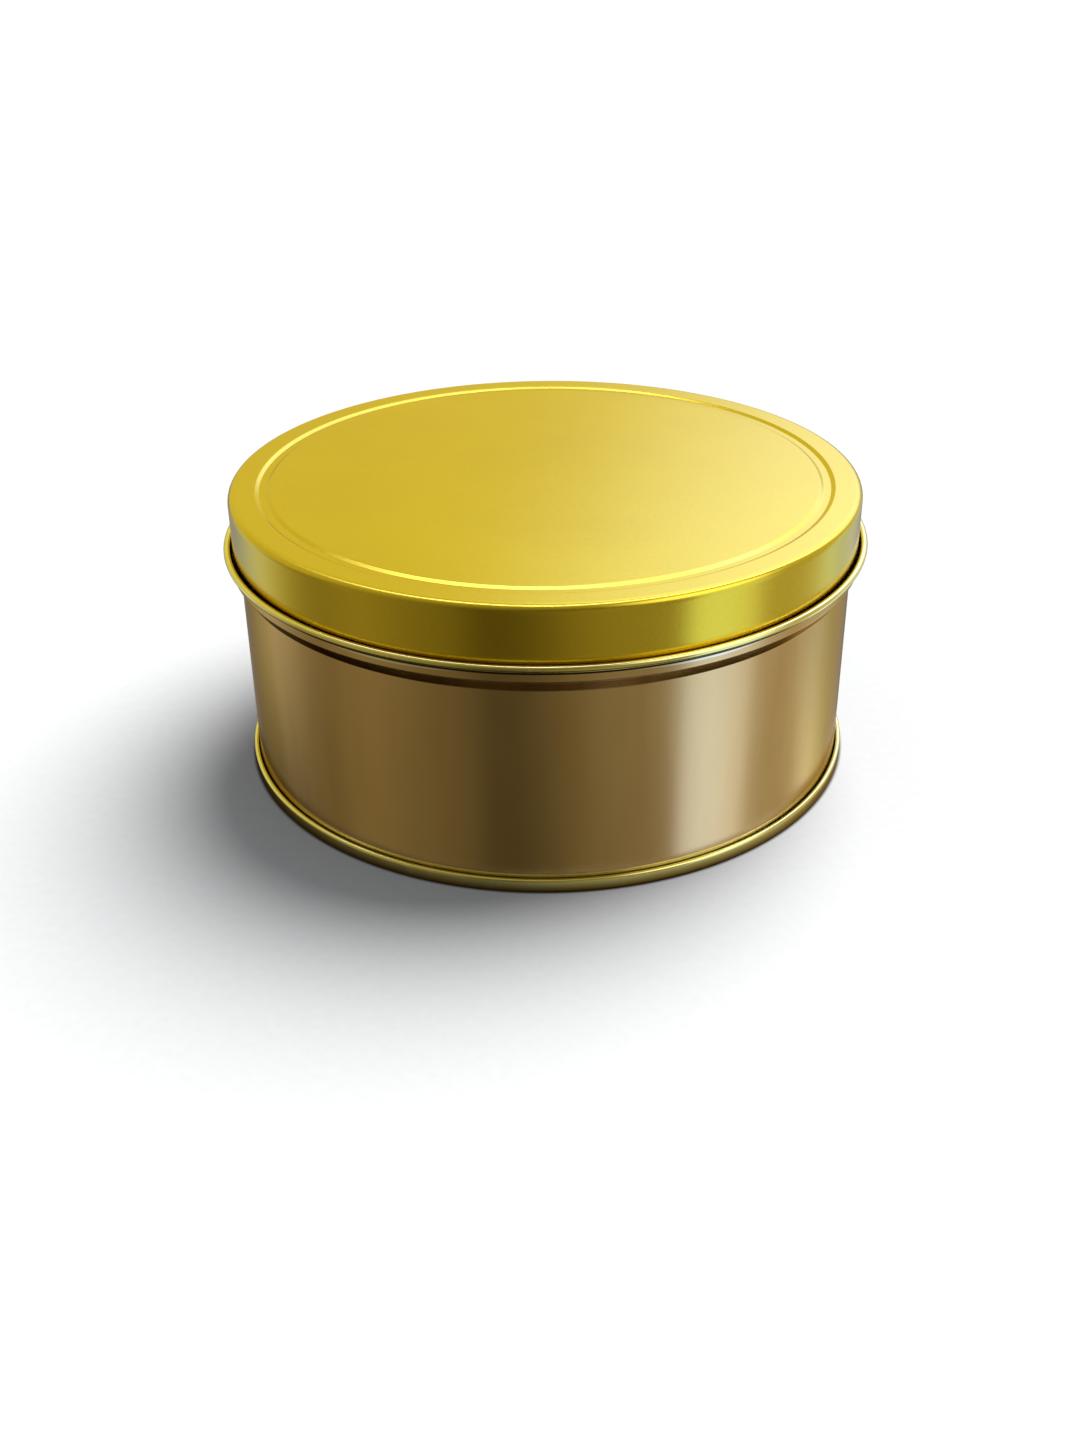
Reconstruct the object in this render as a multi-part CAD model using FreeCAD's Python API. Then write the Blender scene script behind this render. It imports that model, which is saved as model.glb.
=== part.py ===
import FreeCAD, Part
import math
import os

from FreeCAD import Vector

# A round biscuit tin of rolled and pressed tinplate with a lift-off lid. Millimetres, +Z up.
# The origin is the middle of the base, at the height of the ground. The front faces -Y, and
# azimuths are degrees from the front, positive towards +X.
#
# Every sheet is drawn as the path of its mid-line in a plane through the axis: straight runs
# joined by tangent bends. The path is thickened and turned about the axis.

# the sheet and the body
sheet = 0.28                # thickness of all the tinplate
wall_radius = 95.35         # outer face of the body wall
body_height = 72.95         # ground to the top of the rim curl
mouth_flare = 2.65          # how much further out the mouth stands than the wall
mouth_depth = 5.35          # top of the rim curl down to the top of the step
step_height = 3.80          # height of the sloping step under the mouth
step_bend = 0.60            # mid-line radius where the step meets the wall and the mouth
rim_curl_diameter = 2.10    # the outward curl round the mouth
rim_curl_sweep = 300.0      # degrees that the curl's sheet turns through

# the side seam, which shows only where the curl has split open over it
side_seam_azimuth = -24.4
split_width = 0.60          # at the curl's free edge, closing towards its top
split_rise = 0.75           # how far above the curl's centre the split reaches

# the lid
lid_height = 22.80          # foot of the hem to the top of the lid
lid_mouth_gap = 0.72        # between the lid's skirt and the mouth around it
lid_shoulder = 2.20         # outside radius between the lid's top and skirt
lid_seat_gap = 0.10         # between the lid's hem and the step it rests on
hem_neck_gap = 0.30         # between the lid's hem and the neck ring inside it
hem_sweep = 300.0
lid_ring_inset = 8.30       # lid's outer radius to the outside of its pressed ring
lid_ring_width = 4.50
lid_ring_depth = 0.65

# the neck ring, which the lid slips over
neck_wall_gap = 0.02        # pushed into the wall, so all but touching
neck_tail = 13.0            # how far the ring reaches down below the step
neck_headroom = 4.40        # between the neck and the underside of the lid
neck_curl_diameter = 1.80
neck_curl_sweep = 290.0
neck_bead_radius = 0.70     # outer radius of the bead that holds the ring up on the step
neck_seat_gap = 0.05        # between that bead and the step
neck_joint_gap = 0.50       # between the two ends of the rolled strip
neck_joint_azimuth = 155.6

# the bottom, rolled together with the wall's lower edge in a double seam
seam_height = 4.05
seam_proud = 1.85           # how far the seam stands out from the wall
chuck_gap = 0.05            # between the wall and the end's upright inside it
seam_foot_bend = 0.50       # mid-line radius of the two lower corners of the seam
seam_fold_gap = 0.15        # between the wall's fold and the end below it
hook_tip_gap = 0.70         # between each hook's tip and the fold it points into
panel_recess = 3.50         # ground to the underside of the bottom panel
panel_bend = 0.80
bottom_ring_inset = 10.5    # wall radius to the outside of the bottom's pressed ring
bottom_ring_width = 4.00
bottom_ring_depth = 0.60
ring_slope_share = 0.25     # share of a pressed ring's width that each of its slopes takes
ring_bend = 0.80            # mid-line radius of a pressed ring's edges
shortest_run = 1e-6         # two bends closer than this follow on with no straight between
compound_film = 0.03        # between the sealing compound and the sheets beside it

# sizes that follow from the ones above
half = sheet / 2
wall_mid = wall_radius - half
wall_inner = wall_radius - sheet
mouth_mid = wall_mid + mouth_flare
mouth_inner = mouth_mid - half
step_foot = body_height - mouth_depth - step_height
step_angle = math.atan2(step_height, mouth_flare)

neck_outer = wall_inner - neck_wall_gap
neck_mid = neck_outer - half
lid_radius = mouth_inner - lid_mouth_gap
hem_radius = (lid_radius - neck_outer - hem_neck_gap) / 2

seam_gap = (seam_proud - 3 * sheet) / 3
cover_hook_mid = wall_radius + seam_gap + half
body_hook_mid = cover_hook_mid + seam_gap + sheet
seam_wall_mid = body_hook_mid + seam_gap + sheet
chuck_mid = wall_inner - chuck_gap - half
wall_fold_height = sheet + seam_fold_gap + half
body_hook_top = seam_height - sheet - hook_tip_gap
cover_hook_foot = wall_fold_height + half + hook_tip_gap


def height_on_step(radius, edge_radius, gap):
    # height of the centre of a round edge that rests on the inside of the step at that radius
    reach = (edge_radius + gap + half) / math.cos(step_angle)
    return step_foot + (radius - wall_mid) * math.tan(step_angle) + reach


hem_centre_height = height_on_step(lid_radius - hem_radius, hem_radius, lid_seat_gap)
lid_top = hem_centre_height - hem_radius + lid_height
neck_top = lid_top - sheet - neck_headroom
neck_bead_height = height_on_step(neck_mid, neck_bead_radius, neck_seat_gap)


def point(radius, height):
    return Vector(radius, 0, height)


def left_of(direction):
    return Vector(-direction.z, 0, direction.x)


def run(start, end):
    # a straight stretch; its edge can be asked for at any offset to the left
    heading = (end - start).normalize()

    def edge(offset):
        shift = left_of(heading) * offset
        return Part.LineSegment(start + shift, end + shift).toShape()

    return {"edge": edge, "end": end, "heading": heading}


def bend(start, heading, radius, turn):
    # a tangent arc from start; turn is in radians, positive to the left
    side = math.copysign(1, turn)
    centre = start + left_of(heading) * radius * side
    first = math.atan2(start.z - centre.z, start.x - centre.x)

    def at(angle, arc_radius):
        return centre + Vector(math.cos(angle), 0, math.sin(angle)) * arc_radius

    def edge(offset):
        arc_radius = radius - side * offset
        points = [at(first + turn * share, arc_radius) for share in (0, 0.5, 1)]
        return Part.Arc(*points).toShape()

    end_heading = Vector(-math.sin(first + turn), 0, math.cos(first + turn)) * side
    return {"edge": edge, "end": at(first + turn, radius), "heading": end_heading}


def bent_path(corners, radii):
    # runs from corner to corner, each inner corner rounded by a bend of its mid-line radius
    path = []
    start = corners[0]
    for before, corner, after, radius in zip(corners, corners[1:], corners[2:], radii):
        come = (corner - before).normalize()
        go = (after - corner).normalize()
        turn = math.atan2(come.x * go.z - come.z * go.x, come.dot(go))
        trim = radius * math.tan(abs(turn) / 2)
        bend_start = corner - come * trim
        if (bend_start - start).Length > shortest_run:
            path.append(run(start, bend_start))
        path.append(bend(bend_start, come, radius, turn))
        start = corner + go * trim
    path.append(run(start, corners[-1]))
    return path


def curled(path, radius, sweep):
    # the path with its end rolled up; sweep is in degrees, positive to the left
    return path + [bend(path[-1]["end"], path[-1]["heading"], radius, math.radians(sweep))]


def turned_sheet(path):
    # the sheet that follows the path, turned all the way round the axis
    left = [piece["edge"](half) for piece in path]
    right = [piece["edge"](-half) for piece in path]
    caps = []
    for near, far in ((left[0].firstVertex(True), right[0].firstVertex(True)),
                      (left[-1].lastVertex(True), right[-1].lastVertex(True))):
        caps.append(Part.LineSegment(near.Point, far.Point).toShape())
    outline = Part.Wire(Part.__sortEdges__(left + right + caps))
    return Part.Face(outline).revolve(Vector(0, 0, 0), Vector(0, 0, 1), 360)


def pressed_ring(outer_radius, width, depth, height):
    # the four corners of a ring pressed into a flat panel, from the inside out
    slope = width * ring_slope_share
    inner_radius = outer_radius - width
    return [
        point(inner_radius, height),
        point(inner_radius + slope, height + depth),
        point(outer_radius - slope, height + depth),
        point(outer_radius, height),
    ]


def at_azimuth(shape, azimuth):
    # a shape made along +X, swung round to that azimuth
    turned = shape.copy()
    turned.rotate(Vector(0, 0, 0), Vector(0, 0, 1), azimuth - 90)
    return turned


def make_body_wall():
    hook_bend = (body_hook_mid - wall_mid) / 2
    curl_mid = rim_curl_diameter / 2 - half
    curl_height = body_height - rim_curl_diameter / 2
    corners = [
        point(body_hook_mid, body_hook_top),
        point(body_hook_mid, wall_fold_height),
        point(wall_mid, wall_fold_height),
        point(wall_mid, step_foot),
        point(mouth_mid, step_foot + step_height),
        point(mouth_mid, curl_height),
    ]
    path = bent_path(corners, [hook_bend, hook_bend, step_bend, step_bend])
    shell = turned_sheet(curled(path, curl_mid, -rim_curl_sweep))

    split_start = mouth_mid + sheet
    low = curl_height - rim_curl_diameter
    split_outline = Part.makePolygon([
        Vector(split_start, -split_width / 2, low),
        Vector(split_start, split_width / 2, low),
        Vector(split_start, 0, curl_height + split_rise),
        Vector(split_start, -split_width / 2, low),
    ])
    split = Part.Face(split_outline).extrude(Vector(2 * rim_curl_diameter, 0, 0))
    return shell.cut(at_azimuth(split, side_seam_azimuth))


def make_neck_ring():
    curl_mid = neck_curl_diameter / 2 - half
    curl_height = neck_top - neck_curl_diameter / 2
    bead_mid = neck_bead_radius - half
    bead_reach = bead_mid * math.sqrt(2)        # flanks at 45 degrees, tangent to the bead's round
    corners = [
        point(neck_mid, step_foot - neck_tail),
        point(neck_mid, neck_bead_height - bead_reach),
        point(neck_mid + bead_reach, neck_bead_height),
        point(neck_mid, neck_bead_height + bead_reach),
        point(neck_mid, curl_height),
    ]
    path = bent_path(corners, [bead_mid / 2, bead_mid, bead_mid / 2])
    ring = turned_sheet(curled(path, curl_mid, neck_curl_sweep))

    joint = Part.makeBox(2 * neck_curl_diameter, neck_joint_gap, neck_top)
    joint.translate(Vector(neck_outer + sheet - 2 * neck_curl_diameter, -neck_joint_gap / 2, 0))
    return ring.cut(at_azimuth(joint, neck_joint_azimuth))


def make_bottom_end():
    fold_bend = (seam_wall_mid - cover_hook_mid) / 2
    panel_mid = panel_recess + half
    ring = pressed_ring(wall_radius - bottom_ring_inset, bottom_ring_width, bottom_ring_depth, panel_mid)
    corners = [point(0, panel_mid)] + ring + [
        point(chuck_mid, panel_mid),
        point(chuck_mid, half),
        point(seam_wall_mid, half),
        point(seam_wall_mid, seam_height - half),
        point(cover_hook_mid, seam_height - half),
        point(cover_hook_mid, cover_hook_foot),
    ]
    bends = [ring_bend] * 4 + [panel_bend, seam_foot_bend, seam_foot_bend, fold_bend, fold_bend]
    return turned_sheet(bent_path(corners, bends))


def make_seam_compound():
    inner = body_hook_mid + half + compound_film
    outer = seam_wall_mid - half - compound_film
    height = body_hook_top - cover_hook_foot
    foot = Vector(0, 0, cover_hook_foot)
    return Part.makeCylinder(outer, height, foot).cut(Part.makeCylinder(inner, height, foot))


def make_lid():
    top_mid = lid_top - half
    skirt_mid = lid_radius - half
    ring = pressed_ring(lid_radius - lid_ring_inset, lid_ring_width, -lid_ring_depth, top_mid)
    corners = [point(0, top_mid)] + ring + [
        point(skirt_mid, top_mid),
        point(skirt_mid, hem_centre_height),
    ]
    path = bent_path(corners, [ring_bend] * 4 + [lid_shoulder - half])
    return turned_sheet(curled(path, hem_radius - half, -hem_sweep))


makers = {
    "body_wall": make_body_wall,
    "neck_ring": make_neck_ring,
    "bottom_end": make_bottom_end,
    "seam_compound": make_seam_compound,
    "lid": make_lid,
}

os.makedirs("parts", exist_ok=True)
for node, make in makers.items():
    shape = make()
    shape.exportStep("parts/" + node + ".step")
    box = shape.optimalBoundingBox(True, False)
    print(f"{node}: {len(shape.Solids)} solid, valid {shape.isValid()}, {shape.Volume:.0f} mm3, "
          f"r {box.XMax:.2f}, z {box.ZMin:.2f} to {box.ZMax:.2f}")
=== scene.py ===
import math

import bmesh
import bpy
from mathutils import Matrix, Vector


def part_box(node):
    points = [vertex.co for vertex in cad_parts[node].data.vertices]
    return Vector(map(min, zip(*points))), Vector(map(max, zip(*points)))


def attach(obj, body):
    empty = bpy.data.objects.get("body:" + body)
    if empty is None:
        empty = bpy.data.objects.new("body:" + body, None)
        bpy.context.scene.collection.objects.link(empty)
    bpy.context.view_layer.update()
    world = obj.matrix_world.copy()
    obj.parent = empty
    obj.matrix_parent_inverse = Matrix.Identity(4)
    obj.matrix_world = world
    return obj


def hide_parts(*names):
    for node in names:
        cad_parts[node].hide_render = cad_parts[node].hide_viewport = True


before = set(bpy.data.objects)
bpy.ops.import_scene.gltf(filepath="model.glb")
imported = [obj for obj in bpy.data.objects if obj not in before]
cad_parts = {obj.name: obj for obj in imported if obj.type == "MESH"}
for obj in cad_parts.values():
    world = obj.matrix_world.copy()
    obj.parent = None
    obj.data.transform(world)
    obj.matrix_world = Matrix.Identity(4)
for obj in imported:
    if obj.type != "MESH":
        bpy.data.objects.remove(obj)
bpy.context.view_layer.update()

print("frame loaded:", ", ".join(sorted(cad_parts)))

# A round biscuit tin of rolled and pressed tinplate. Pieces are drawn in millimetres and made
# metres at the end. The front faces -Y; azimuths are degrees from the front, positive to +X.
mm = 0.001
tinSheet = 0.28                         # thickness of all the tinplate
sideSeam = -24.4                        # azimuth of the body's side seam
holdLoop = 0.25                         # a run's last loop before a bend, which keeps the flat flat
shortestRun = 0.02                      # bends closer than this follow each other without a run
mergeWithin = 0.002                     # doubles nearer than this become one
crease = math.radians(38)               # edges sharper than this are shaded as sharp


def sizeOf(node):
    # widest radius, foot and top of a CAD node, in millimetres
    low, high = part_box(node)
    reach = min(high.x, high.y, -low.x, -low.y)
    return reach / mm, low.z / mm, high.z / mm


def linear(text):
    # an sRGB hex colour as the linear one that the shaders take
    parts = [int(text[n:n + 2], 16) / 255 for n in (1, 3, 5)]
    return [c / 12.92 if c <= 0.04045 else ((c + 0.055) / 1.055) ** 2.4 for c in parts] + [1]


def perMetre(size):
    # texture scale for a pattern whose features are this many millimetres across
    return 1 / (size * mm)


def setStops(elements, stops):
    # a colour ramp's elements, from stops given as position: colour
    while len(elements) > 1:
        elements.remove(elements[-1])
    for n, (place, colour) in enumerate(sorted(stops.items())):
        element = elements[0] if n == 0 else elements.new(place)
        element.position = place
        element.color = colour


def addNode(tree, kind, settings={}, links={}):
    # a node with its settings and what feeds its inputs
    node = tree.nodes.new(kind)
    for key, value in settings.items():
        if key == "stops":
            setStops(node.color_ramp.elements, value)
        elif isinstance(key, int) or key in node.inputs.keys():
            node.inputs[key].default_value = value
        else:
            setattr(node, key, value)
    for key, output in links.items():
        tree.links.new(output, node.inputs[key])
    return node


def azimuthFrom(tree, parts):
    # the azimuth in radians, from 0 at the front, of a place or a direction in its three parts
    front = addNode(tree, "ShaderNodeMath", {"operation": "MULTIPLY", 1: -1.0}, {0: parts["Y"]})
    return addNode(tree, "ShaderNodeMath", {"operation": "ARCTAN2"},
                   {0: parts["X"], 1: front.outputs[0]}).outputs[0]


def at(radius, height):
    # a place on a sheet's middle line, which is drawn in a plane through the axis
    return Vector((radius, 0, height))


def runTo(bm, tip, end, cuts=1):
    # a straight run, with a loop held close to each of its ends
    start = tip.co.copy()
    length = (end - start).length
    if length < shortestRun:
        return tip
    hold = min(holdLoop, length / 4) / length
    shares = [hold] + [hold + (1 - 2 * hold) * n / cuts for n in range(1, cuts + 1)] + [1]
    for share in shares:
        tip = bmesh.ops.extrude_vert_indiv(bm, verts=[tip])["verts"][0]
        tip.co = start.lerp(end, share)
    return tip


def bendRound(bm, tip, centre, turn, finest=10):
    # a bend about a centre; turn is in degrees, positive to the left
    steps = max(3, math.ceil(abs(turn) / finest))
    spun = bmesh.ops.spin(bm, geom=[tip], cent=centre, axis=(0, 1, 0),
                          angle=math.radians(-turn), steps=steps)
    return [g for g in spun["geom_last"] if isinstance(g, bmesh.types.BMVert)][0]


def leftOf(heading):
    return Vector((-heading.z, 0, heading.x))


def bentLine(bm, corners, bends, cuts=1):
    # runs from corner to corner, each corner rounded by a bend of its own radius
    tip = bm.verts.new(corners[0])
    for before, corner, after, radius in zip(corners, corners[1:], corners[2:], bends):
        come = (corner - before).normalized()
        go = (after - corner).normalized()
        turn = math.atan2(come.x * go.z - come.z * go.x, come.dot(go))
        bendStart = corner - come * radius * math.tan(abs(turn) / 2)
        tip = runTo(bm, tip, bendStart, cuts)
        centre = bendStart + leftOf(come) * math.copysign(radius, turn)
        tip = bendRound(bm, tip, centre, math.degrees(turn))
    return runTo(bm, tip, corners[-1], cuts)


def curlEnd(bm, tip, heading, radius, sweep):
    # rolls up the line's end; sweep is in degrees, positive to the left
    centre = tip.co + leftOf(heading) * math.copysign(radius, sweep)
    return bendRound(bm, tip, centre, sweep)


def pressedRing(outer, width, depth, height, slope=0.25):
    # the four corners of a ring pressed into a flat panel, from the inside out
    inner = outer - width
    return [at(inner, height), at(inner + slope * width, height + depth),
            at(outer - slope * width, height + depth), at(outer, height)]


def turnRound(bm, start, sectors):
    # turns the drawn line about the axis, from an azimuth on, in sectors of (degrees, steps)
    bmesh.ops.rotate(bm, verts=bm.verts, matrix=Matrix.Rotation(math.radians(start - 90), 3, "Z"))
    edge = bm.verts[:] + bm.edges[:]
    full = len(sectors) == 1 and sectors[0][0] == 360
    for degrees, steps in sectors:
        spun = bmesh.ops.spin(bm, geom=edge, cent=(0, 0, 0), axis=(0, 0, 1),
                              angle=math.radians(degrees), steps=steps, use_merge=full)
        edge = spun["geom_last"]
    bmesh.ops.remove_doubles(bm, verts=bm.verts, dist=mergeWithin)
    bmesh.ops.recalc_face_normals(bm, faces=bm.faces)


def azimuthOf(co):
    # degrees from the front
    return math.degrees(math.atan2(co.x, -co.y))


def radiusOf(co):
    return math.hypot(co.x, co.y)


def faceOut(bm, isOut):
    # turns the skin so that the side which isOut picks is its front
    face = next(f for f in bm.faces if isOut(f))
    centre = face.calc_center_median()
    if face.normal.dot(Vector((centre.x, centre.y, 0))) < 0:
        bmesh.ops.reverse_faces(bm, faces=bm.faces)


def pushOut(vert, amount):
    # moves a vertex along its own radius
    flat = Vector((vert.co.x, vert.co.y, 0))
    if flat.length > 1:
        vert.co += flat.normalized() * amount


def finishSheet(bm, name, materials, body, node):
    # gives the skin its thickness, both ways from the middle, and joins it to the frame
    bmesh.ops.scale(bm, vec=(mm, mm, mm), verts=bm.verts)
    mesh = bpy.data.meshes.new(name)
    bm.to_mesh(mesh)
    bm.free()
    piece = bpy.data.objects.new(name, mesh)
    bpy.context.scene.collection.objects.link(piece)
    for material in materials:
        mesh.materials.append(material)
    wall = piece.modifiers.new("sheet", "SOLIDIFY")
    wall.thickness = tinSheet * mm
    wall.offset = 0
    wall.use_even_offset = True
    wall.use_quality_normals = True
    wall.material_offset = len(materials) // 2
    wall.material_offset_rim = len(materials) // 2
    seen = piece.evaluated_get(bpy.context.evaluated_depsgraph_get())
    made = bpy.data.meshes.new_from_object(seen)
    piece.modifiers.clear()
    piece.data = made
    made.name = name
    shaded = bmesh.new()
    shaded.from_mesh(made)
    for face in shaded.faces:
        face.smooth = True
    for edge in shaded.edges:
        edge.smooth = len(edge.link_faces) == 2 and edge.calc_face_angle(0) < crease
    shaded.to_mesh(made)
    shaded.free()
    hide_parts(node)
    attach(piece, body)
    print(name, "made:", len(made.polygons), "faces")
    return piece


blendReach = 0.25                       # how far the mixed noises go either side of their middle
nickLevels = (0.74, 0.80)               # noise levels where a nick starts and is at its deepest


def newMaterial(name):
    material = bpy.data.materials.new(name)
    material.use_nodes = True
    tree = material.node_tree
    tree.nodes.clear()
    shader = addNode(tree, "ShaderNodeBsdfPrincipled")
    addNode(tree, "ShaderNodeOutputMaterial", links={"Surface": shader.outputs[0]})
    place = addNode(tree, "ShaderNodeTexCoord").outputs["Object"]
    return material, tree, shader, place


def leaveBare(tree, place, spread, printed, edges):
    # the print stops short of the curl and of the seam; the sheet was cut a little out of true, so the
    # upper edge wanders up and down. A thin darker band above the lower edge is painted shade, in place
    # of the mirrored contact shadow at the foot, and the dark close up under the curl is painted shade
    parts = addNode(tree, "ShaderNodeSeparateXYZ", links={0: place}).outputs
    soft = edges["soft"] * mm
    ragged = addNode(tree, "ShaderNodeTexNoise",
                     {"Scale": perMetre(edges["strayLength"]), "Detail": 3.0}, {0: place})
    stray = addNode(tree, "ShaderNodeMapRange",
                    {"To Min": -edges["stray"] * mm, "To Max": edges["stray"] * mm},
                    {0: ragged.outputs[0]})
    height = addNode(tree, "ShaderNodeMath", {"operation": "ADD"}, {0: parts["Z"], 1: stray.outputs[0]})
    waves = addNode(tree, "ShaderNodeMath", {"operation": "MULTIPLY", 1: edges["waves"]},
                    {0: azimuthFrom(tree, parts)})
    swing = addNode(tree, "ShaderNodeMath", {"operation": "COSINE"}, {0: waves.outputs[0]})
    drop = addNode(tree, "ShaderNodeMath", {"operation": "MULTIPLY_ADD", 1: -edges["swing"] * mm},
                   {0: swing.outputs[0], 2: height.outputs[0]})
    top = edges["top"] * mm
    above = addNode(tree, "ShaderNodeMapRange", {"From Min": top - soft, "From Max": top + soft},
                    {0: drop.outputs[0]})
    foot = edges["foot"] * mm
    below = addNode(tree, "ShaderNodeMapRange", {"From Min": foot + soft, "From Max": foot - soft},
                    {0: height.outputs[0]})
    bare = addNode(tree, "ShaderNodeMath", {"operation": "MAXIMUM"},
                   {0: above.outputs[0], 1: below.outputs[0]})
    # painted shade: a thin band above the lower edge is darkened, for the mirrored contact shadow
    line = addNode(tree, "ShaderNodeMapRange",
                   {"interpolation_type": "SMOOTHSTEP",
                    "From Min": foot, "From Max": foot + edges["line"] * mm,
                    "To Min": edges["footShadeDepth"], "To Max": 1.0}, {0: height.outputs[0]})
    footShaded = addNode(tree, "ShaderNodeVectorMath", {"operation": "SCALE"},
                    {0: printed, "Scale": line.outputs[0]})
    low, high = (linear(c) for c in edges["colours"])
    tin = addNode(tree, "ShaderNodeValToRGB", {"stops": {0: low, 1: high}}, {0: spread})
    sheet = addNode(tree, "ShaderNodeMix", {"data_type": "RGBA"},
                    {0: bare.outputs[0], 6: footShaded.outputs[0], 7: tin.outputs[0]})
    curlShadeFrom = edges["curlShadeFrom"] * mm           # painted shade starts here, close up under the curl
    underCurlShade = addNode(tree, "ShaderNodeMapRange", {"From Min": curlShadeFrom - soft, "From Max": curlShadeFrom + soft},
                     {0: parts["Z"]})
    # painted shade: the wall turns dark close up under the curl, for the gap there
    return addNode(tree, "ShaderNodeMix", {"data_type": "RGBA", 7: linear(edges["curlShadeColour"])},
                   {0: underCurlShade.outputs[0], 6: sheet.outputs[2]}).outputs[2]


def rollAndGrain(tree, place, stretched, mottle, finish):
    # the sheet's slow waves, the coating's fine tooth and the small nicks, as one normal
    roll = addNode(tree, "ShaderNodeTexNoise",
                   {"Scale": perMetre(finish["waveLength"]), "Detail": 1.0}, {0: stretched})
    slow = addNode(tree, "ShaderNodeBump", {"Distance": finish["waveHeight"] * mm},
                   {"Height": roll.outputs[0]})
    fine = addNode(tree, "ShaderNodeBump", {"Distance": finish["grainHeight"] * mm},
                   {"Height": mottle, "Normal": slow.outputs[0]})
    if "nick" not in finish:
        return fine.outputs[0]
    rough = addNode(tree, "ShaderNodeTexNoise",
                    {"Scale": perMetre(finish["nick"]), "Detail": 1.0}, {0: place})
    start, deep = nickLevels
    pit = addNode(tree, "ShaderNodeMapRange",
                  {"From Min": start, "From Max": deep, "To Min": 1.0, "To Max": 0.0},
                  {0: rough.outputs[0]})
    return addNode(tree, "ShaderNodeBump", {"Distance": finish["nickDepth"] * mm},
                   {"Height": pit.outputs[0], "Normal": fine.outputs[0]}).outputs[0]


def coatedTinplate(name, finish):
    # lacquer or print on rolled tinplate. The coating varies in tone and gloss, finely (mottle) and
    # broadly (patch, drawn out by streakShape), and the sheet under it has the slow waves of rolling
    material, tree, shader, place = newMaterial(name)
    stretched = addNode(tree, "ShaderNodeMapping", {"Scale": finish["streakShape"]},
                        {0: place}).outputs[0]
    mottle = addNode(tree, "ShaderNodeTexNoise",
                     {"Scale": perMetre(finish["mottle"]), "Detail": 3.0, "Roughness": 0.6}, {0: place})
    patch = addNode(tree, "ShaderNodeTexNoise",
                    {"Scale": perMetre(finish["patch"]), "Detail": 2.0}, {0: stretched})
    blend = addNode(tree, "ShaderNodeMath", {"operation": "MULTIPLY_ADD", 1: finish["mottleShare"]},
                    {0: mottle.outputs[0], 2: patch.outputs[0]})
    centre = 0.5 + 0.5 * finish["mottleShare"]      # the middle of what the two noises add up to
    spread = addNode(tree, "ShaderNodeMapRange",
                     {"From Min": centre - blendReach, "From Max": centre + blendReach},
                     {0: blend.outputs[0]}).outputs[0]
    low, middle, high = (linear(c) for c in finish["colours"])
    colour = addNode(tree, "ShaderNodeValToRGB", {"stops": {0: low, 0.5: middle, 1: high}},
                     {0: spread}).outputs[0]
    if "bareEdges" in finish:
        colour = leaveBare(tree, place, spread, colour, finish["bareEdges"])
    tree.links.new(colour, shader.inputs["Base Color"])
    smooth, dull = finish["roughness"]
    rough = addNode(tree, "ShaderNodeMapRange", {"To Min": smooth, "To Max": dull}, {0: spread})
    tree.links.new(rough.outputs[0], shader.inputs["Roughness"])
    normal = rollAndGrain(tree, place, stretched, mottle.outputs[0], finish)
    tree.links.new(normal, shader.inputs["Normal"])
    shader.inputs["Metallic"].default_value = 1
    shader.inputs["Specular Tint"].default_value = linear(finish["edgeTint"])
    shader.inputs["Coat Weight"].default_value = finish["coat"]
    shader.inputs["Coat Roughness"].default_value = finish["coatRoughness"]
    return material


# yellow-gold satin lacquer, roller coated on tinplate and stoved: an even soft gloss with the
# colour in the reflection, and a fine tooth that keeps reflections from having hard edges
lidLacquer = coatedTinplate("satinGoldLacquerOnTinplate", {
    "colours": ("#D0B61D", "#D4BA20", "#D8BE24"),
    "roughness": (0.20, 0.23),
    "edgeTint": "#E8D8A0",
    "mottle": 0.8,                      # the real tooth is about 0.05; drawn coarser so that it shows
    "mottleShare": 1.0,
    "patch": 50,
    "streakShape": (1, 1, 1),
    "waveLength": 40,
    "waveHeight": 0.012,
    "grainHeight": 0.0032,
    "coat": 0.6,
    "coatRoughness": 0.2,
})

# transparent bronze-gold ink under a clear varnish, printed flat and rolled into the wall: the
# metal glows through, and the rolled wall's long soft waves stretch reflections up and down.
# Where the print stops the bare electrolytic tinplate shows, bright and a little grey
bronzePrint = coatedTinplate("bronzeInkPrintedOnTinplate", {
    "colours": ("#C5A574", "#CBAE79", "#D0B47F"),
    "roughness": (0.19, 0.25),
    "edgeTint": "#C9A974",
    "mottle": 0.5,                      # ink mottle, about 0.1 in print, drawn coarser
    "mottleShare": 0.4,
    "patch": 12,
    "streakShape": (1, 1, 0.2),
    "waveLength": 17,
    "waveHeight": 0.045,
    "grainHeight": 0.0010,
    "nick": 2.2,
    "nickDepth": 0.01,
    "coat": 0.15,
    "coatRoughness": 0.1,
    "bareEdges": {
        "top": 69.90,                   # middle height of the upper edge, and its swing up and down
        "swing": 0.75,
        "waves": 7.0,                   # swings in one turn
        "foot": 4.95,                   # height of the lower edge
        "line": 0.75,                   # height of the painted dark band above it, shade in place of the mirrored contact shadow, and how dark it is
        "footShadeDepth": 0.85,
        "stray": 0.25,                  # how far both edges stray, and over what length
        "strayLength": 9,
        "soft": 0.10,
        "colours": ("#DAD3B4", "#E4DEC4"),
        "curlShadeFrom": 69.85,                  # painted shade under the curl above this height, and its colour
        "curlShadeColour": "#2E2410",
    },
})

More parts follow.
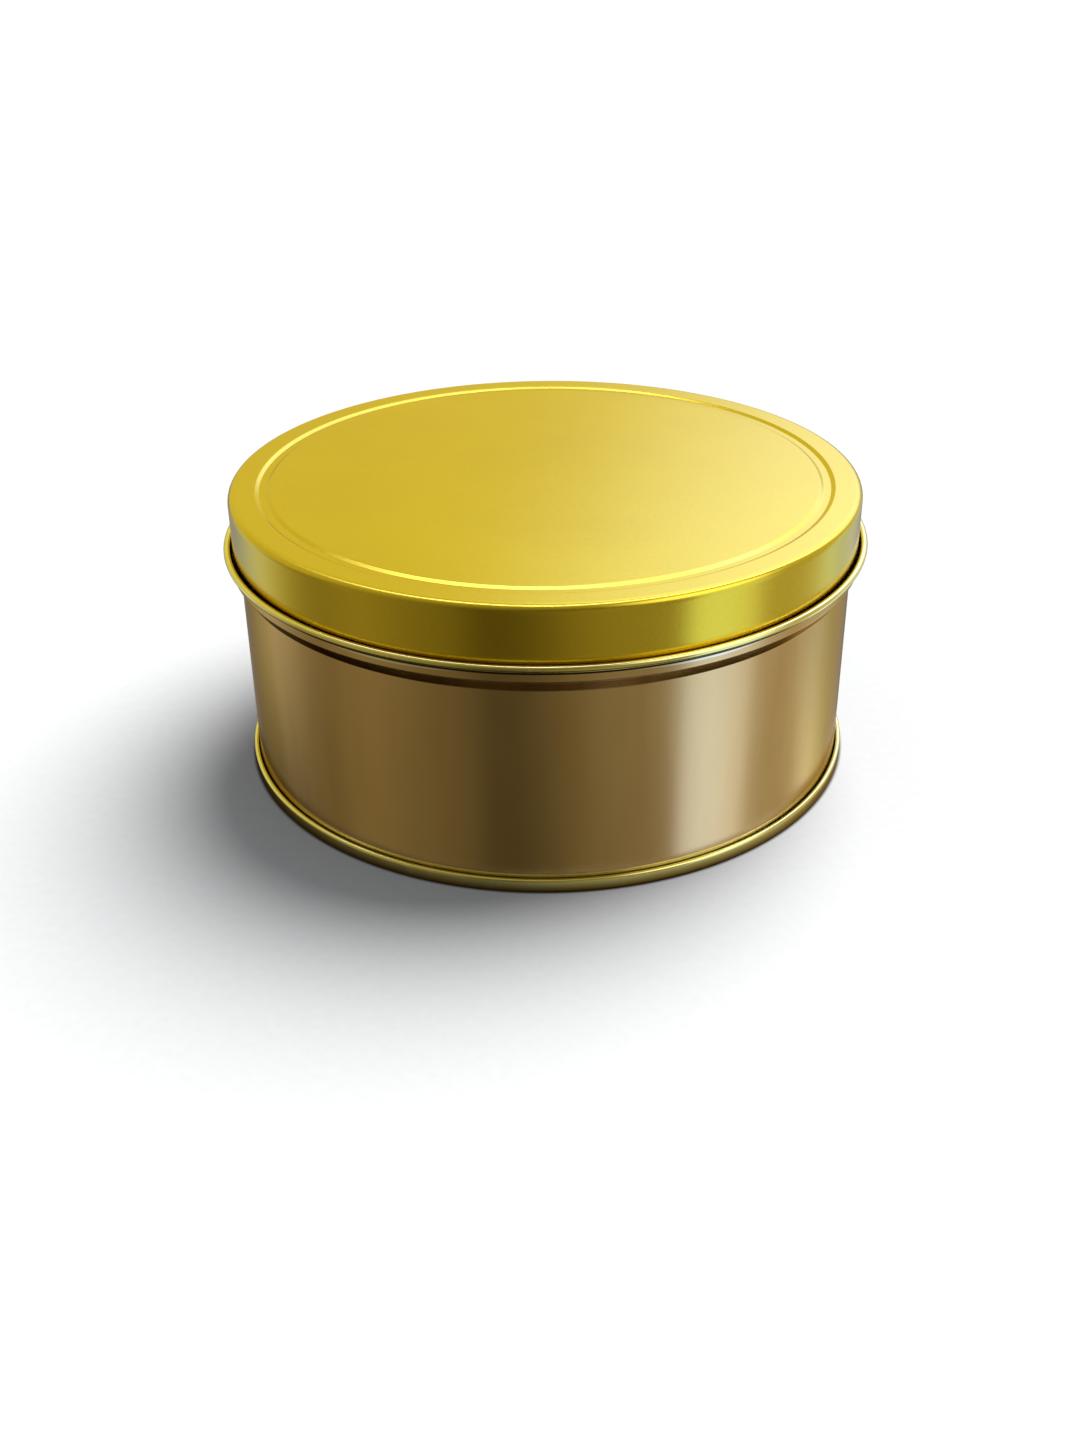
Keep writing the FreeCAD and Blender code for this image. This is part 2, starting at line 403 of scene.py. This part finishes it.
# clear gold lacquer on bright tinplate, as on the inside of food tins: glossy and pale gold, with
# small nicks where the edges have been knocked
goldLacquer = coatedTinplate("clearGoldLacquerOnTinplate", {
    "colours": ("#DACD76", "#DED27E", "#E3D786"),
    "roughness": (0.12, 0.17),
    "edgeTint": "#F4EDC8",
    "mottle": 0.8,
    "mottleShare": 0.4,
    "patch": 9,
    "streakShape": (1, 1, 0.5),
    "waveLength": 7,
    "waveHeight": 0.03,
    "grainHeight": 0.0015,
    "nick": 1.4,
    "nickDepth": 0.05,
    "coat": 0.4,
    "coatRoughness": 0.08,
})


compoundRubber = {
    "colours": ("#B5B2A6", "#C6C3B8"),
    "pebble": 0.4,
    "pebbleHeight": 0.03,
    "roughness": 0.6,
}


def castCompound(finish):
    # water-based sealing compound, poured into the end's rim and dried: grey-cream rubber with a
    # skin that is matt and slightly pebbled
    material, tree, shader, place = newMaterial("driedSealingCompoundRubber")
    pebble = addNode(tree, "ShaderNodeTexNoise", {"Scale": perMetre(finish["pebble"]), "Detail": 3.0},
                     {0: place})
    low, high = (linear(c) for c in finish["colours"])
    tone = addNode(tree, "ShaderNodeValToRGB", {"stops": {0.3: low, 0.7: high}}, {0: pebble.outputs[0]})
    bump = addNode(tree, "ShaderNodeBump", {"Distance": finish["pebbleHeight"] * mm},
                   {"Height": pebble.outputs[0]})
    tree.links.new(tone.outputs[0], shader.inputs["Base Color"])
    tree.links.new(bump.outputs[0], shader.inputs["Normal"])
    shader.inputs["Roughness"].default_value = finish["roughness"]
    return material


sealingCompound = castCompound(compoundRubber)
print("materials made:", len(bpy.data.materials))


bodyWall = {
    "curlDiameter": 2.10,
    "curlSweep": 300,
    "mouthFlare": 2.65,                 # how much wider the mouth is than the wall, in radius
    "mouthDepth": 5.35,                 # curl's top to the step
    "stepHeight": 3.80,
    "stepBend": 0.60,
    "foldWidth": 1.233,                 # wall to hook, middle to middle
    "hookTop": 3.07,
    "splitSpan": 3.0,                   # degrees each side of the side seam that the split disturbs
    "splitWidth": 0.60,
    "splitTop": 0.75,                   # above the curl's centre
    "lipRise": 0.10,                    # how far the torn lips are lifted
}


def makeBodyWall(size):
    curlReach, foot, top = sizeOf("body_wall")
    half = tinSheet / 2
    curlRadius = size["curlDiameter"] / 2
    curlMid = curlRadius - half
    mouth = curlReach - curlRadius - curlMid
    wall = mouth - size["mouthFlare"]
    hook = wall + size["foldWidth"]
    curlHeight = top - curlRadius
    stepTop = top - size["mouthDepth"]
    stepFoot = stepTop - size["stepHeight"]
    bm = bmesh.new()
    corners = [at(hook, size["hookTop"]), at(hook, foot + half), at(wall, foot + half),
               at(wall, stepFoot), at(mouth, stepTop), at(mouth, curlHeight)]
    foldBend = size["foldWidth"] / 2
    tip = bentLine(bm, corners, [foldBend, foldBend, size["stepBend"], size["stepBend"]])
    curlEnd(bm, tip, Vector((0, 0, 1)), curlMid, -size["curlSweep"])
    span = size["splitSpan"]
    turnRound(bm, sideSeam - span, [(2 * span, 24), (360 - 2 * span, 354)])
    faceOut(bm, lambda f: 20 < f.calc_center_median().z < 40)
    splitCurl(bm, size, mouth, curlHeight)
    materials = [bronzePrint, goldLacquer]
    return finishSheet(bm, "bodyShell", materials, "tin", "body_wall")


def splitCurl(bm, size, mouth, curlHeight):
    # the curl has torn over the side seam: a V, open at the free edge, with lifted lips
    apex = curlHeight + size["splitTop"]
    low = curlHeight - size["curlDiameter"]
    outer = mouth + tinSheet

    def onCurl(vert):
        return radiusOf(vert.co) > outer and low < vert.co.z < apex

    torn = [e for e in bm.edges if all(onCurl(v) and abs(azimuthOf(v.co) - sideSeam) < 0.02
                                       for v in e.verts)]
    bmesh.ops.split_edges(bm, edges=torn)
    for vert in bm.verts:
        away = azimuthOf(vert.co) - sideSeam
        if not onCurl(vert) or abs(away) > size["splitSpan"]:
            continue
        middle = sum((azimuthOf(f.calc_center_median()) for f in vert.link_faces)) / len(vert.link_faces)
        side = 1 if middle > sideSeam else -1
        fade = (1 - abs(away) / size["splitSpan"]) ** 3
        open_ = size["splitWidth"] / 2 * (apex - vert.co.z) / (apex - low)
        turn = Matrix.Rotation(side * fade * open_ / radiusOf(vert.co), 3, "Z")
        vert.co = turn @ vert.co
        pushOut(vert, size["lipRise"] * fade ** 2 * (apex - vert.co.z) / (apex - low))


makeBodyWall(bodyWall)


neckRing = {
    "curlDiameter": 1.80,
    "curlSweep": 290,
    "beadRadius": 0.70,
    "beadHeight": 64.97,
    "jointAzimuth": 155.6,              # where the strip's ends meet, and the gap between them
    "jointGap": 0.50,
}


def makeNeckRing(size):
    beadOut, foot, top = sizeOf("neck_ring")
    half = tinSheet / 2
    beadMid = size["beadRadius"] - half
    beadReach = beadMid * math.sqrt(2)
    wall = beadOut - size["beadRadius"]
    bead = size["beadHeight"]
    curlRadius = size["curlDiameter"] / 2
    bm = bmesh.new()
    corners = [at(wall, foot), at(wall, bead - beadReach), at(wall + beadReach, bead),
               at(wall, bead + beadReach), at(wall, top - curlRadius)]
    tip = bentLine(bm, corners, [beadMid / 2, beadMid, beadMid / 2])
    curlEnd(bm, tip, Vector((0, 0, 1)), curlRadius - half, size["curlSweep"])
    gap = math.degrees(size["jointGap"] / wall)
    turnRound(bm, size["jointAzimuth"] + gap / 2, [(360 - gap, 320)])
    faceOut(bm, lambda f: foot + 2 < f.calc_center_median().z < foot + 10)
    materials = [goldLacquer, goldLacquer]
    return finishSheet(bm, "neckRing", materials, "tin", "neck_ring")


makeNeckRing(neckRing)


bottomEnd = {
    "panelHeight": 3.64,
    "ringOuter": 84.85,                 # the ring pressed into the panel
    "ringWidth": 4.00,
    "ringDepth": 0.60,
    "ringBend": 0.80,
    "panelBend": 0.80,
    "chuck": 94.88,                     # the wall inside the seam
    "footBend": 0.50,
    "seamTop": 4.05,
    "coverHook": 95.827,                # the hook turned down behind the body's own
    "hookFoot": 1.41,
    "bumpSpan": 0.9,                    # the side seam's extra layers swell the bottom seam here
    "bumpRise": 0.10,
}


def makeBottomEnd(size):
    seamOut, foot, top = sizeOf("bottom_end")
    half = tinSheet / 2
    seamWall = seamOut - half
    crown = size["seamTop"] - half
    foldBend = (seamWall - size["coverHook"]) / 2
    ring = pressedRing(size["ringOuter"], size["ringWidth"], size["ringDepth"], size["panelHeight"])
    corners = [at(0, size["panelHeight"])] + ring + [
        at(size["chuck"], size["panelHeight"]), at(size["chuck"], foot + half),
        at(seamWall, foot + half), at(seamWall, crown), at(size["coverHook"], crown),
        at(size["coverHook"], size["hookFoot"])]
    bends = [size["ringBend"]] * 4 + [size["panelBend"], size["footBend"], size["footBend"],
                                      foldBend, foldBend]
    bm = bmesh.new()
    bentLine(bm, corners, bends)
    span = 2 * size["bumpSpan"]
    turnRound(bm, sideSeam - span, [(2 * span, 24), (360 - 2 * span, 356)])
    faceOut(bm, lambda f: radiusOf(f.calc_center_median()) > seamWall - 0.05)
    for vert in bm.verts:
        away = (azimuthOf(vert.co) - sideSeam) / size["bumpSpan"]
        if radiusOf(vert.co) > size["coverHook"] + foldBend:
            pushOut(vert, size["bumpRise"] * math.exp(-away ** 2))
    materials = [goldLacquer, goldLacquer]
    return finishSheet(bm, "bottomEnd", materials, "tin", "bottom_end")


makeBottomEnd(bottomEnd)

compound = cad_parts["seam_compound"]
compound.data.materials.clear()
compound.data.materials.append(sealingCompound)


lid = {
    "shoulder": 2.20,
    "ringInset": 8.30,                  # skirt to the pressed ring
    "ringWidth": 4.50,
    "ringDepth": 0.65,
    "ringBend": 0.60,
    "hemRadius": 0.825,
    "hemSweep": 300,
}


def makeLid(size):
    reach, foot, top = sizeOf("lid")
    half = tinSheet / 2
    skirt = reach - half
    plate = top - half
    ring = pressedRing(reach - size["ringInset"], size["ringWidth"], -size["ringDepth"], plate)
    corners = [at(0, plate)] + ring + [at(skirt, plate), at(skirt, foot + size["hemRadius"])]
    bm = bmesh.new()
    tip = bentLine(bm, corners, [size["ringBend"]] * 4 + [size["shoulder"] - half], cuts=3)
    curlEnd(bm, tip, Vector((0, 0, -1)), size["hemRadius"] - half, -size["hemSweep"])
    turnRound(bm, 0, [(360, 360)])
    faceOut(bm, lambda f: foot + 4 < f.calc_center_median().z < top - 4)
    materials = [lidLacquer, goldLacquer]
    return finishSheet(bm, "lidShell", materials, "lid", "lid")


makeLid(lid)


studio = {
    "floorRadius": 6.0,                 # metres
    "floorHeight": -0.05,               # just under the foot
    "paper": ("#F3F3F3", "#F6F6F6"),
    "fibre": 3,
    "contactShade": ("#4A4744", 96.9, 98.3),  # colour, and where it starts and has faded out
    "seamShade": ("#7E6236", 97.4, 103.0),  # the same as the seam mirrors it, warmed by the gold
    "keyAzimuth": 136,                  # behind and to the right
    "keyElevation": 57,
    "keyAngle": 45,
    "keyStrength": 3.40,
    "ambient": (0.243, 0.25, 0.257, 1),  # what fills the shadow
    "contact": (0.03, 0.03, 0.03, 1),   # what the tin passes on into its own shadow
    "mirroredTo": 0.103,                # how far out the tin's foot sees the paper, in metres
    "mirroredHeight": -0.04,
}


def direction(azimuth, elevation):
    a, e = math.radians(azimuth), math.radians(elevation)
    return Vector((math.sin(a) * math.cos(e), -math.cos(a) * math.cos(e), math.sin(e)))


def layDisc(name, radius, height, material):
    # a flat disc of paper, its radius in metres and its height in millimetres
    bm = bmesh.new()
    bmesh.ops.create_circle(bm, cap_ends=True, segments=96, radius=radius)
    bmesh.ops.translate(bm, verts=bm.verts, vec=(0, 0, height * mm))
    mesh = bpy.data.meshes.new(name)
    bm.to_mesh(mesh)
    bm.free()
    mesh.materials.append(material)
    disc = bpy.data.objects.new(name, mesh)
    bpy.context.scene.collection.objects.link(disc)
    return disc


def matPaper(name, shade):
    # heavy uncoated paper: quite matt, with the fibres just clouding its tone. Close in against the
    # seam it darkens, where the rounded foot keeps the light off
    material, tree, shader, place = newMaterial(name)
    fibre = addNode(tree, "ShaderNodeTexNoise", {"Scale": perMetre(studio["fibre"]), "Detail": 4.0},
                    {0: place})
    low, high = (linear(c) for c in studio["paper"])
    tone = addNode(tree, "ShaderNodeValToRGB", {"stops": {0.3: low, 0.7: high}}, {0: fibre.outputs[0]})
    dark, start, end = shade
    away = addNode(tree, "ShaderNodeVectorMath", {"operation": "LENGTH"}, {0: place})
    lit = addNode(tree, "ShaderNodeMapRange",
                  {"interpolation_type": "SMOOTHSTEP", "From Min": start * mm, "From Max": end * mm},
                  {0: away.outputs["Value"]})
    seen = addNode(tree, "ShaderNodeMix", {"data_type": "RGBA", 6: linear(dark)},
                   {0: lit.outputs[0], 7: tone.outputs[0]})
    tree.links.new(seen.outputs[2], shader.inputs["Base Color"])
    shader.inputs["Roughness"].default_value = 1
    shader.inputs["Specular IOR Level"].default_value = 0
    return material


def makeFloor():
    pale = matPaper("paleStudioPaper", studio["contactShade"])
    shaded = matPaper("paperInTheSeamsShade", studio["seamShade"])
    floor = layDisc("floor", studio["floorRadius"], studio["floorHeight"], pale)
    floor.visible_glossy = False        # the tin mirrors the studio's dark and light sides instead,
    near = layDisc("nearFloor", studio["mirroredTo"], studio["mirroredHeight"], shaded)
    near.visible_camera = False         # and only its foot mirrors the shaded paper close by
    near.visible_diffuse = False
    near.visible_shadow = False


def makeKeyLight():
    lamp = bpy.data.lights.new("keyLight", "SUN")
    lamp.energy = studio["keyStrength"]
    lamp.angle = math.radians(studio["keyAngle"])
    key = bpy.data.objects.new("keyLight", lamp)
    bpy.context.scene.collection.objects.link(key)
    towards = direction(studio["keyAzimuth"], studio["keyElevation"])
    key.rotation_euler = towards.to_track_quat("Z", "Y").to_euler()
    key.visible_glossy = False
    return key


# what the tin's walls mirror, all round and below the horizon, as azimuth: brightness of the
# upper ring, of the lower ring, and how cool the light is (0 for lamp light, 1 for daylight)
surround = {
    -180: (0.45, 0.36, 0.6), -165: (0.39, 0.28, 0.4), -152: (0.36, 0.26, 0.6), -142: (0.50, 0.12, 0.8),
    -131: (0.72, 0.11, 0.9), -121: (0.84, 0.20, 0.7), -110: (0.64, 0.21, 0.4), -100: (0.41, 0.21, 0.2),
    -89: (0.30, 0.21, 0.0), -67: (0.37, 0.31, 0.0), -56: (0.31, 0.24, 0.0), -45: (0.26, 0.22, 0.0),
    -34: (0.22, 0.22, 0.0), -21: (0.10, 0.12, 0.0), -9: (0.135, 0.11, 0.0), 4: (0.22, 0.175, 0.0),
    12: (0.30, 0.235, 0.0), 22: (0.345, 0.30, 0.1), 36: (0.36, 0.35, 0.1), 48: (0.35, 0.40, 0.1),
    54: (1.12, 1.27, 1.0), 67: (1.08, 1.32, 1.0), 77: (1.03, 1.28, 0.7), 85: (0.56, 0.54, 0.2),
    100: (0.60, 0.56, 0.2), 110: (0.70, 0.82, 0.5), 121: (0.95, 1.70, 1.1), 131: (0.74, 1.25, 1.1),
    142: (0.78, 0.92, 0.9), 152: (0.54, 0.72, 0.6), 162: (0.28, 0.28, 0.3), 180: (0.45, 0.36, 0.6),
}
lampTint = (1.05, 0.89, 0.50)
dayTint = (0.95, 1.16, 1.60)
highRing = -26                          # elevations of the two rings
lowRing = -31.5
# how the lower ring fades under the tin, from straight down (0) up to the horizon (1)
underneath = {0: 0.6, 0.03: 0.5, 0.07: 0.12, 0.30: 0.12, 0.36: 0.45, 0.39: 1.0}
raisedFront = 0.35                      # in front the lit and dark sides reach above the horizon
raisedFrom = (-0.2, 0.1)                # where, from front to back, that starts to fall and has ended
horizonBlur = 0.06

aboveFront = (0.10, 0.09, 0.06, 1)      # above the horizon: in front, at the sides, behind
aboveSides = (0.60, 0.54, 0.30, 1)
aboveBack = (0.99, 0.93, 0.29, 1)

# the large soft box behind and to the right and the window at the front right, by angles from
# their middles, and the bent tube lamp overhead, by the direction's parts
softBox = {
    "azimuth": 150,
    "elevation": 34,
    "full": 18,
    "end": 31,
    "light": (0.78, 1.10, 3.30),
}
window = {
    "azimuth": 64,
    "elevation": 40,
    "full": 10,
    "end": 30,
    "light": (1.70, 1.75, 1.90),
}
tubeLamp = {
    "across": 0.08,                     # how far behind its middle is, how much further at its ends
    "bend": 0.60,
    "width": (0.05, 0.12),              # half of the full light, and where it has faded out
    "middle": 0.08,
    "length": (0.35, 0.70),
    "light": (4.4, 4.6, 9.5),
}


def ringLight(brightness, coolness):
    return [brightness * (w + (c - w) * coolness) for w, c in zip(lampTint, dayTint)] + [1]


def belowHorizon(tree, parts):
    # the two rings of the surround, and how they fade under the tin
    share = addNode(tree, "ShaderNodeMapRange", {"From Min": -math.pi, "From Max": math.pi},
                    {0: azimuthFrom(tree, parts)})
    rings = []
    for level in (0, 1):
        stops = {(a + 180) / 360: ringLight(b[level], b[2]) for a, b in surround.items()}
        rings.append(addNode(tree, "ShaderNodeValToRGB", {"stops": stops}, {0: share.outputs[0]}))
    high, low = (math.sin(math.radians(e)) for e in (highRing, lowRing))
    level = addNode(tree, "ShaderNodeMapRange", {"From Min": high, "From Max": low}, {0: parts["Z"]})
    ring = addNode(tree, "ShaderNodeMix", {"data_type": "RGBA"},
                   {0: level.outputs[0], 6: rings[0].outputs[0], 7: rings[1].outputs[0]})
    depth = addNode(tree, "ShaderNodeMapRange", {"From Min": -1.0, "From Max": 0.0}, {0: parts["Z"]})
    nadir = addNode(tree, "ShaderNodeValToRGB",
                    {"stops": {n: (v, v, v, 1) for n, v in underneath.items()}}, {0: depth.outputs[0]})
    return addNode(tree, "ShaderNodeVectorMath", {"operation": "MULTIPLY"},
                   {0: ring.outputs[2], 1: nadir.outputs[0]}).outputs[0]


def roundLight(tree, look, box):
    # how much of a soft light is seen, by the angle from its middle
    towards = direction(box["azimuth"], box["elevation"])
    facing = addNode(tree, "ShaderNodeVectorMath", {"operation": "DOT_PRODUCT", 1: towards}, {0: look})
    end, full = (math.cos(math.radians(box[k])) for k in ("end", "full"))
    return addNode(tree, "ShaderNodeMapRange",
                   {"interpolation_type": "SMOOTHSTEP", "From Min": end, "From Max": full},
                   {0: facing.outputs["Value"]}).outputs[0]


def tubeLight(tree, parts, tube):
    # how much of the bent tube lamp is seen, across it times along it
    sideways = addNode(tree, "ShaderNodeMath", {"operation": "ABSOLUTE"}, {0: parts["X"]})
    course = addNode(tree, "ShaderNodeMath",
                     {"operation": "MULTIPLY_ADD", 1: tube["bend"], 2: tube["across"]},
                     {0: sideways.outputs[0]})
    off = addNode(tree, "ShaderNodeMath", {"operation": "SUBTRACT"},
                  {0: parts["Y"], 1: course.outputs[0]})
    along = addNode(tree, "ShaderNodeMath", {"operation": "SUBTRACT", 1: tube["middle"]}, {0: parts["X"]})
    reach = []
    for offset, (full, end) in ((off, tube["width"]), (along, tube["length"])):
        distance = addNode(tree, "ShaderNodeMath", {"operation": "ABSOLUTE"}, {0: offset.outputs[0]})
        reach.append(addNode(tree, "ShaderNodeMapRange",
                             {"interpolation_type": "SMOOTHSTEP", "From Min": end, "From Max": full},
                             {0: distance.outputs[0]}).outputs[0])
    return addNode(tree, "ShaderNodeMath", {"operation": "MULTIPLY"}, {0: reach[0], 1: reach[1]}).outputs[0]


def aboveHorizon(tree, look, parts):
    # a gradient from front to back, and the lights on top of it
    back = addNode(tree, "ShaderNodeMapRange", {"From Min": -1.0}, {0: parts["Y"]})
    light = addNode(tree, "ShaderNodeValToRGB", {"stops": {0: aboveFront, 0.5: aboveSides, 1: aboveBack}},
                    {0: back.outputs[0]}).outputs[0]
    shares = [(box["light"], roundLight(tree, look, box)) for box in (softBox, window)]
    shares.append((tubeLamp["light"], tubeLight(tree, parts, tubeLamp)))
    for colour, share in shares:
        glow = addNode(tree, "ShaderNodeVectorMath", {"operation": "SCALE", 0: colour}, {"Scale": share})
        light = addNode(tree, "ShaderNodeVectorMath", {"operation": "ADD"},
                        {0: light, 1: glow.outputs[0]}).outputs[0]
    return light


def makeWorld():
    world = bpy.data.worlds.new("studio")
    bpy.context.scene.world = world
    world.use_nodes = True
    tree = world.node_tree
    tree.nodes.clear()
    look = addNode(tree, "ShaderNodeTexCoord").outputs["Generated"]
    parts = addNode(tree, "ShaderNodeSeparateXYZ", links={0: look}).outputs
    start, end = raisedFrom
    raised = addNode(tree, "ShaderNodeMapRange",
                     {"From Min": start, "From Max": end, "To Min": raisedFront, "To Max": 0.0},
                     {0: parts["Y"]})
    rise = addNode(tree, "ShaderNodeMath", {"operation": "SUBTRACT"},
                   {0: parts["Z"], 1: raised.outputs[0]})
    above = addNode(tree, "ShaderNodeMapRange",
                    {"interpolation_type": "SMOOTHSTEP", "From Min": -horizonBlur, "From Max": horizonBlur},
                    {0: rise.outputs[0]})
    mixed = addNode(tree, "ShaderNodeMix", {"data_type": "RGBA"},
                    {0: above.outputs[0], 6: belowHorizon(tree, parts), 7: aboveHorizon(tree, look, parts)})
    # metal mirrors all that; the paper floor is filled by plain even light, and the rest is white
    kind = addNode(tree, "ShaderNodeLightPath").outputs
    direct = addNode(tree, "ShaderNodeMath", {"operation": "LESS_THAN", 1: 0.5},
                     {0: kind["Diffuse Depth"]})
    mirrored = addNode(tree, "ShaderNodeMath", {"operation": "MULTIPLY"},
                       {0: kind["Is Glossy Ray"], 1: direct.outputs[0]})
    fill = addNode(tree, "ShaderNodeMix",
                   {"data_type": "RGBA", 6: studio["ambient"], 7: studio["contact"]},
                   {0: kind["Is Glossy Ray"]})
    even = addNode(tree, "ShaderNodeMix", {"data_type": "RGBA"},
                   {0: mirrored.outputs[0], 6: fill.outputs[2], 7: mixed.outputs[2]})
    plain = addNode(tree, "ShaderNodeMix", {"data_type": "RGBA", 7: (1, 1, 1, 1)},
                    {0: kind["Is Camera Ray"], 6: even.outputs[2]})
    shown = addNode(tree, "ShaderNodeBackground", links={0: plain.outputs[2]})
    addNode(tree, "ShaderNodeOutputWorld", links={0: shown.outputs[0]})


# the camera stands in front of the tin and looks down at it; millimetres and degrees
view = {
    "lens": 38.45,
    "place": (0, -454.6, 257.2),
    "tilt": 60.48,
    "turn": 0.17,
    "roll": -0.6,
}


def makeCamera():
    camera = bpy.data.objects.new("camera", bpy.data.cameras.new("camera"))
    bpy.context.scene.collection.objects.link(camera)
    camera.data.lens = view["lens"]
    camera.data.clip_start = 0.01
    camera.data.clip_end = 30
    turn, tilt, roll = (math.radians(view[k]) for k in ("turn", "tilt", "roll"))
    aim = Matrix.Rotation(turn, 4, "Z") @ Matrix.Rotation(tilt, 4, "X") @ Matrix.Rotation(roll, 4, "Z")
    camera.matrix_world = Matrix.Translation(Vector(view["place"]) * mm) @ aim
    bpy.context.scene.camera = camera


makeFloor()
makeKeyLight()
makeWorld()
makeCamera()
bpy.context.scene.view_settings.view_transform = "Standard"
print("studio made")
